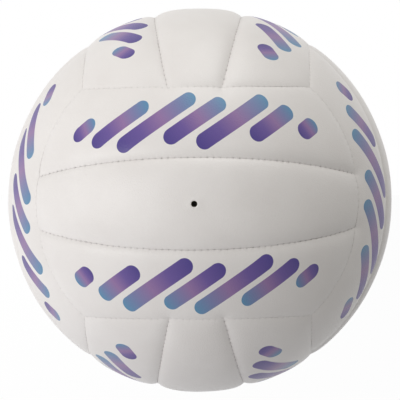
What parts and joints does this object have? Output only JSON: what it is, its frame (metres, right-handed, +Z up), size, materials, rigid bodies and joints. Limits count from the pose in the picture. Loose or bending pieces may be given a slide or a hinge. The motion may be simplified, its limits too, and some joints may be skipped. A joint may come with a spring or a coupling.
{
  "type": "volleyball",
  "caption": "Round sewn ball of padded strip panels laid in groups at right angles, over a rubber bladder with a needle valve, for court play.",
  "frame": {"origin": "centre of the ball", "axes": "+Z up, the valve faces -Y, +X to the right seen from the valve's side"},
  "size_m": [0.21, 0.21, 0.21],
  "materials": {
    "cover": "off-white satin synthetic leather with a fine grain and a soft printed pattern of rounded bars",
    "foam": "matt closed-cell foam with a woven backing cloth",
    "thread": "off-white twisted polyester sewing thread",
    "bladder": "matt black butyl rubber",
    "patch": "plain woven cotton",
    "valve": "matt black moulded rubber",
    "valve_core": "dark grey soft rubber, lightly oiled"
  },
  "bodies": {
    "ball": {"front_upper_panel": "cover", "front_middle_panel": "cover", "front_lower_panel": "cover", "back_upper_panel": "cover", "back_middle_panel": "cover", "back_lower_panel": "cover", "bottom_right_panel": "cover", "bottom_middle_panel": "cover", "bottom_left_panel": "cover", "top_right_panel": "cover", "top_middle_panel": "cover", "top_left_panel": "cover", "left_back_panel": "cover", "left_middle_panel": "cover", "left_front_panel": "cover", "right_front_panel": "cover", "right_middle_panel": "cover", "right_back_panel": "cover", "front_upper_foam": "foam", "front_middle_foam": "foam", "front_lower_foam": "foam", "back_upper_foam": "foam", "back_middle_foam": "foam", "back_lower_foam": "foam", "bottom_right_foam": "foam", "bottom_middle_foam": "foam", "bottom_left_foam": "foam", "top_right_foam": "foam", "top_middle_foam": "foam", "top_left_foam": "foam", "left_back_foam": "foam", "left_middle_foam": "foam", "left_front_foam": "foam", "right_front_foam": "foam", "right_middle_foam": "foam", "right_back_foam": "foam", "front_seam_threads": "thread", "back_seam_threads": "thread", "bottom_seam_threads": "thread", "top_seam_threads": "thread", "left_seam_threads": "thread", "right_seam_threads": "thread", "closing_seam_thread": "thread", "bladder": "bladder", "valve_patch": "patch", "valve_housing": "valve"},
    "valve_core": {"valve_core": "valve_core"}
  },
  "joints": [
    {"name": "valve_core_pull", "type": "slide", "parent": "ball", "child": "valve_core", "axis": [0, -1, 0], "range_m": [0, 0.018]}
  ]
}
